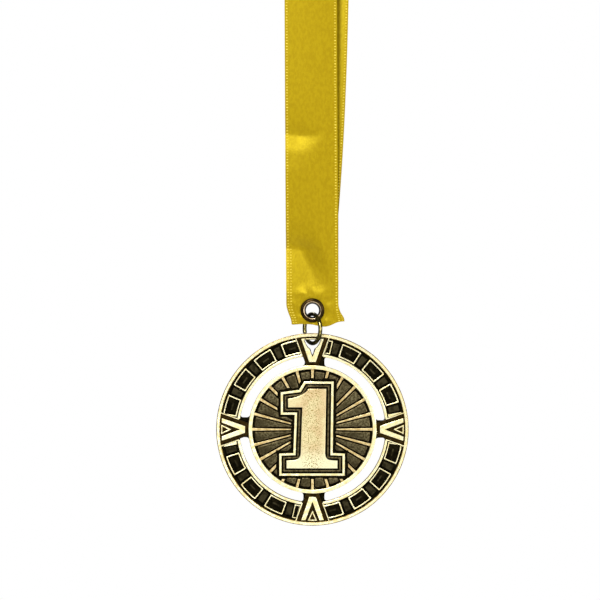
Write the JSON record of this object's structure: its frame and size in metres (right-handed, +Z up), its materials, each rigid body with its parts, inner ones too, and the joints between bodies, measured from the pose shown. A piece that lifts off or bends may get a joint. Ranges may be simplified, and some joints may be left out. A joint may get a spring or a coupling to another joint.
{
  "type": "sports finisher medal",
  "caption": "Cast metal award disc with a raised numeral one, hung by a jump ring and an eyelet from a folded satin neck ribbon.",
  "frame": {"origin": "inside of the ribbon's loop at its top, where a neck, peg or rail carries it", "axes": "+Z up along the hanging ribbon, -Y out of the medal's face towards the viewer, +X to the viewer's right"},
  "size_m": [0.07, 0.0256, 0.4464],
  "materials": {
    "satin": "yellow polyester satin with stitched selvedges",
    "eyelet_metal": "dark antique bronze plating",
    "ring_wire": "antique brass plated steel wire",
    "antique_gold": "cast, antique gold plating with dark patina in the recesses"
  },
  "bodies": {
    "ribbon": {"neck_ribbon": "satin", "eyelet": "eyelet_metal", "eyelet_washer": "eyelet_metal"},
    "ring": {"jump_ring": "ring_wire"},
    "disc": {"medal": "antique_gold"}
  },
  "joints": [
    {"name": "ring_swing", "type": "hinge", "parent": "ribbon", "child": "ring", "pos_m": [0, 0, -0.3691], "axis": [0.5299, -0.848, 0], "range_deg": [-15, 15]},
    {"name": "medal_tilt", "type": "hinge", "parent": "ring", "child": "disc", "pos_m": [0, 0, -0.37445], "axis": [0.9613, 0.2756, 0], "range_deg": [-35, 35]}
  ]
}
